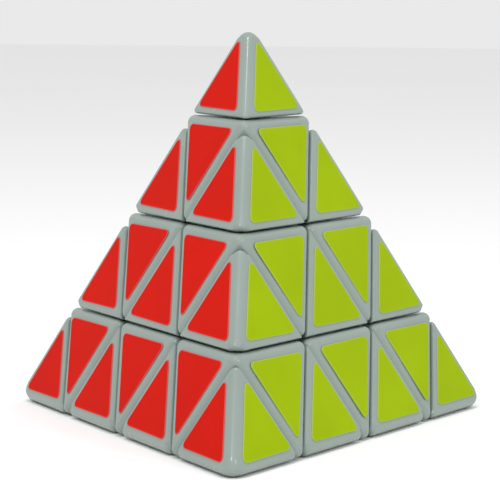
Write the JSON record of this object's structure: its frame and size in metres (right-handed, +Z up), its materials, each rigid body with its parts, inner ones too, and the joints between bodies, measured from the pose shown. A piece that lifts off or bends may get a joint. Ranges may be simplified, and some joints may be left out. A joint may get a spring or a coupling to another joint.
{
  "type": "pyramid twisting puzzle",
  "caption": "Triangular pyramid twisting puzzle with layers that turn about its corner axes and coloured triangular stickers on pale grey pieces.",
  "frame": {"origin": "centre of the base face, on the surface the puzzle rests on", "axes": "+Z up through the top corner, -Y toward the front corner of the base, +X to the right"},
  "size_m": [0.0942, 0.0828, 0.0777],
  "materials": {
    "piece_plastic": "smooth moulded",
    "inner_plastic": "moulded",
    "core": "moulded",
    "steel": "plated",
    "spring_steel": "bright drawn wire"
  },
  "bodies": {
    "core": {"core_ball": "core", "axis_screw_A": "steel", "tension_spring_A": "spring_steel", "spring_washer_A": "steel", "axis_screw_B": "steel", "tension_spring_B": "spring_steel", "spring_washer_B": "steel", "axis_screw_C": "steel", "tension_spring_C": "spring_steel", "spring_washer_C": "steel", "axis_screw_D": "steel", "tension_spring_D": "spring_steel", "spring_washer_D": "steel"},
    "deep_layer_A": {"inner_hub_A": "inner_plastic"},
    "corner_layer_A": {"axial_A": "piece_plastic", "tip_stud_A": "inner_plastic"},
    "tip_A": {"tip_A": "piece_plastic"},
    "deep_layer_B": {"inner_hub_B": "inner_plastic"},
    "corner_layer_B": {"axial_B": "piece_plastic", "tip_stud_B": "inner_plastic"},
    "tip_B": {"tip_B": "piece_plastic"},
    "deep_layer_C": {"inner_hub_C": "inner_plastic"},
    "corner_layer_C": {"axial_C": "piece_plastic", "tip_stud_C": "inner_plastic"},
    "tip_C": {"tip_C": "piece_plastic"},
    "deep_layer_D": {"inner_hub_D": "inner_plastic"},
    "corner_layer_D": {"axial_D": "piece_plastic", "tip_stud_D": "inner_plastic"},
    "tip_D": {"tip_D": "piece_plastic"},
    "middle_edge_AB": {"middle_edge_AB": "piece_plastic"},
    "middle_edge_AC": {"middle_edge_AC": "piece_plastic"},
    "middle_edge_AD": {"middle_edge_AD": "piece_plastic"},
    "middle_edge_BC": {"middle_edge_BC": "piece_plastic"},
    "middle_edge_BD": {"middle_edge_BD": "piece_plastic"},
    "middle_edge_CD": {"middle_edge_CD": "piece_plastic"},
    "face_centre_ABC": {"face_centre_ABC": "piece_plastic"},
    "face_centre_ABD": {"face_centre_ABD": "piece_plastic"},
    "face_centre_ACD": {"face_centre_ACD": "piece_plastic"},
    "face_centre_BCD": {"face_centre_BCD": "piece_plastic"},
    "wing_AB": {"wing_AB": "piece_plastic"},
    "wing_AC": {"wing_AC": "piece_plastic"},
    "wing_AD": {"wing_AD": "piece_plastic"},
    "wing_BA": {"wing_BA": "piece_plastic"},
    "wing_BC": {"wing_BC": "piece_plastic"},
    "wing_BD": {"wing_BD": "piece_plastic"},
    "wing_CA": {"wing_CA": "piece_plastic"},
    "wing_CB": {"wing_CB": "piece_plastic"},
    "wing_CD": {"wing_CD": "piece_plastic"},
    "wing_DA": {"wing_DA": "piece_plastic"},
    "wing_DB": {"wing_DB": "piece_plastic"},
    "wing_DC": {"wing_DC": "piece_plastic"}
  },
  "joints": [
    {"name": "deep_turn_A", "type": "hinge", "parent": "core", "child": "deep_layer_A", "pos_m": [0, 0, 0.02041], "axis": [0, 0, 1], "range_deg": [-360, 360]},
    {"name": "deep_turn_B", "type": "hinge", "parent": "core", "child": "deep_layer_B", "pos_m": [0, 0, 0.02041], "axis": [0, -0.9428, -0.3333], "range_deg": [-360, 360]},
    {"name": "deep_turn_C", "type": "hinge", "parent": "core", "child": "deep_layer_C", "pos_m": [0, 0, 0.02041], "axis": [0.8165, 0.4714, -0.3333], "range_deg": [-360, 360]},
    {"name": "deep_turn_D", "type": "hinge", "parent": "core", "child": "deep_layer_D", "pos_m": [0, 0, 0.02041], "axis": [-0.8165, 0.4714, -0.3333], "range_deg": [-360, 360]},
    {"name": "corner_turn_A", "type": "hinge", "parent": "deep_layer_A", "child": "corner_layer_A", "pos_m": [0, 0, 0.02041], "axis": [0, 0, 1], "continuous": true},
    {"name": "corner_turn_B", "type": "hinge", "parent": "deep_layer_B", "child": "corner_layer_B", "pos_m": [0, 0, 0.02041], "axis": [0, -0.9428, -0.3333], "continuous": true},
    {"name": "corner_turn_C", "type": "hinge", "parent": "deep_layer_C", "child": "corner_layer_C", "pos_m": [0, 0, 0.02041], "axis": [0.8165, 0.4714, -0.3333], "continuous": true},
    {"name": "corner_turn_D", "type": "hinge", "parent": "deep_layer_D", "child": "corner_layer_D", "pos_m": [0, 0, 0.02041], "axis": [-0.8165, 0.4714, -0.3333], "continuous": true},
    {"name": "tip_turn_A", "type": "hinge", "parent": "corner_layer_A", "child": "tip_A", "pos_m": [0, 0, 0.02041], "axis": [0, 0, 1], "continuous": true},
    {"name": "tip_turn_B", "type": "hinge", "parent": "corner_layer_B", "child": "tip_B", "pos_m": [0, 0, 0.02041], "axis": [0, -0.9428, -0.3333], "continuous": true},
    {"name": "tip_turn_C", "type": "hinge", "parent": "corner_layer_C", "child": "tip_C", "pos_m": [0, 0, 0.02041], "axis": [0.8165, 0.4714, -0.3333], "continuous": true},
    {"name": "tip_turn_D", "type": "hinge", "parent": "corner_layer_D", "child": "tip_D", "pos_m": [0, 0, 0.02041], "axis": [-0.8165, 0.4714, -0.3333], "continuous": true},
    {"name": "middle_AB_with_B", "type": "hinge", "parent": "deep_layer_A", "child": "middle_edge_AB", "pos_m": [0, 0, 0.02041], "axis": [0, -0.9428, -0.3333], "range_deg": [-360, 360]},
    {"name": "middle_AC_with_C", "type": "hinge", "parent": "deep_layer_A", "child": "middle_edge_AC", "pos_m": [0, 0, 0.02041], "axis": [0.8165, 0.4714, -0.3333], "range_deg": [-360, 360]},
    {"name": "middle_AD_with_A", "type": "hinge", "parent": "deep_layer_D", "child": "middle_edge_AD", "pos_m": [0, 0, 0.02041], "axis": [0, 0, 1], "range_deg": [-360, 360]},
    {"name": "middle_BC_with_C", "type": "hinge", "parent": "deep_layer_B", "child": "middle_edge_BC", "pos_m": [0, 0, 0.02041], "axis": [0.8165, 0.4714, -0.3333], "range_deg": [-360, 360]},
    {"name": "middle_BD_with_D", "type": "hinge", "parent": "deep_layer_B", "child": "middle_edge_BD", "pos_m": [0, 0, 0.02041], "axis": [-0.8165, 0.4714, -0.3333], "range_deg": [-360, 360]},
    {"name": "middle_CD_with_D", "type": "hinge", "parent": "deep_layer_C", "child": "middle_edge_CD", "pos_m": [0, 0, 0.02041], "axis": [-0.8165, 0.4714, -0.3333], "range_deg": [-360, 360]},
    {"name": "centre_ABC_with_A", "type": "hinge", "parent": "middle_edge_BC", "child": "face_centre_ABC", "pos_m": [0, 0, 0.02041], "axis": [0, 0, 1], "range_deg": [-360, 360]},
    {"name": "centre_ABD_with_B", "type": "hinge", "parent": "middle_edge_AD", "child": "face_centre_ABD", "pos_m": [0, 0, 0.02041], "axis": [0, -0.9428, -0.3333], "range_deg": [-360, 360]},
    {"name": "centre_ACD_with_A", "type": "hinge", "parent": "middle_edge_CD", "child": "face_centre_ACD", "pos_m": [0, 0, 0.02041], "axis": [0, 0, 1], "range_deg": [-360, 360]},
    {"name": "centre_BCD_with_B", "type": "hinge", "parent": "middle_edge_CD", "child": "face_centre_BCD", "pos_m": [0, 0, 0.02041], "axis": [0, -0.9428, -0.3333], "range_deg": [-360, 360]},
    {"name": "wing_AB_with_A", "type": "hinge", "parent": "middle_edge_AB", "child": "wing_AB", "pos_m": [0, 0, 0.02041], "axis": [0, 0, 1], "continuous": true},
    {"name": "wing_AC_with_A", "type": "hinge", "parent": "middle_edge_AC", "child": "wing_AC", "pos_m": [0, 0, 0.02041], "axis": [0, 0, 1], "continuous": true},
    {"name": "wing_AD_with_A", "type": "hinge", "parent": "middle_edge_AD", "child": "wing_AD", "pos_m": [0, 0, 0.02041], "axis": [0, 0, 1], "continuous": true},
    {"name": "wing_BA_with_B", "type": "hinge", "parent": "middle_edge_AB", "child": "wing_BA", "pos_m": [0, 0, 0.02041], "axis": [0, -0.9428, -0.3333], "continuous": true},
    {"name": "wing_BC_with_B", "type": "hinge", "parent": "middle_edge_BC", "child": "wing_BC", "pos_m": [0, 0, 0.02041], "axis": [0, -0.9428, -0.3333], "continuous": true},
    {"name": "wing_BD_with_B", "type": "hinge", "parent": "middle_edge_BD", "child": "wing_BD", "pos_m": [0, 0, 0.02041], "axis": [0, -0.9428, -0.3333], "continuous": true},
    {"name": "wing_CA_with_C", "type": "hinge", "parent": "middle_edge_AC", "child": "wing_CA", "pos_m": [0, 0, 0.02041], "axis": [0.8165, 0.4714, -0.3333], "continuous": true},
    {"name": "wing_CB_with_C", "type": "hinge", "parent": "middle_edge_BC", "child": "wing_CB", "pos_m": [0, 0, 0.02041], "axis": [0.8165, 0.4714, -0.3333], "continuous": true},
    {"name": "wing_CD_with_C", "type": "hinge", "parent": "middle_edge_CD", "child": "wing_CD", "pos_m": [0, 0, 0.02041], "axis": [0.8165, 0.4714, -0.3333], "continuous": true},
    {"name": "wing_DA_with_D", "type": "hinge", "parent": "middle_edge_AD", "child": "wing_DA", "pos_m": [0, 0, 0.02041], "axis": [-0.8165, 0.4714, -0.3333], "continuous": true},
    {"name": "wing_DB_with_D", "type": "hinge", "parent": "middle_edge_BD", "child": "wing_DB", "pos_m": [0, 0, 0.02041], "axis": [-0.8165, 0.4714, -0.3333], "continuous": true},
    {"name": "wing_DC_with_D", "type": "hinge", "parent": "middle_edge_CD", "child": "wing_DC", "pos_m": [0, 0, 0.02041], "axis": [-0.8165, 0.4714, -0.3333], "continuous": true}
  ],
  "couplings": [
    {"joint": "middle_AB_with_B", "follows": "deep_turn_B", "ratio": 1},
    {"joint": "middle_AC_with_C", "follows": "deep_turn_C", "ratio": 1},
    {"joint": "middle_AD_with_A", "follows": "deep_turn_A", "ratio": 1},
    {"joint": "middle_BC_with_C", "follows": "deep_turn_C", "ratio": 1},
    {"joint": "middle_BD_with_D", "follows": "deep_turn_D", "ratio": 1},
    {"joint": "middle_CD_with_D", "follows": "deep_turn_D", "ratio": 1},
    {"joint": "centre_ABC_with_A", "follows": "deep_turn_A", "ratio": 1},
    {"joint": "centre_ABD_with_B", "follows": "deep_turn_B", "ratio": 1},
    {"joint": "centre_ACD_with_A", "follows": "deep_turn_A", "ratio": 1},
    {"joint": "centre_BCD_with_B", "follows": "deep_turn_B", "ratio": 1},
    {"joint": "wing_AB_with_A", "follows": "corner_turn_A", "ratio": 1},
    {"joint": "wing_AC_with_A", "follows": "corner_turn_A", "ratio": 1},
    {"joint": "wing_AD_with_A", "follows": "corner_turn_A", "ratio": 1},
    {"joint": "wing_BA_with_B", "follows": "corner_turn_B", "ratio": 1},
    {"joint": "wing_BC_with_B", "follows": "corner_turn_B", "ratio": 1},
    {"joint": "wing_BD_with_B", "follows": "corner_turn_B", "ratio": 1},
    {"joint": "wing_CA_with_C", "follows": "corner_turn_C", "ratio": 1},
    {"joint": "wing_CB_with_C", "follows": "corner_turn_C", "ratio": 1},
    {"joint": "wing_CD_with_C", "follows": "corner_turn_C", "ratio": 1},
    {"joint": "wing_DA_with_D", "follows": "corner_turn_D", "ratio": 1},
    {"joint": "wing_DB_with_D", "follows": "corner_turn_D", "ratio": 1},
    {"joint": "wing_DC_with_D", "follows": "corner_turn_D", "ratio": 1}
  ]
}
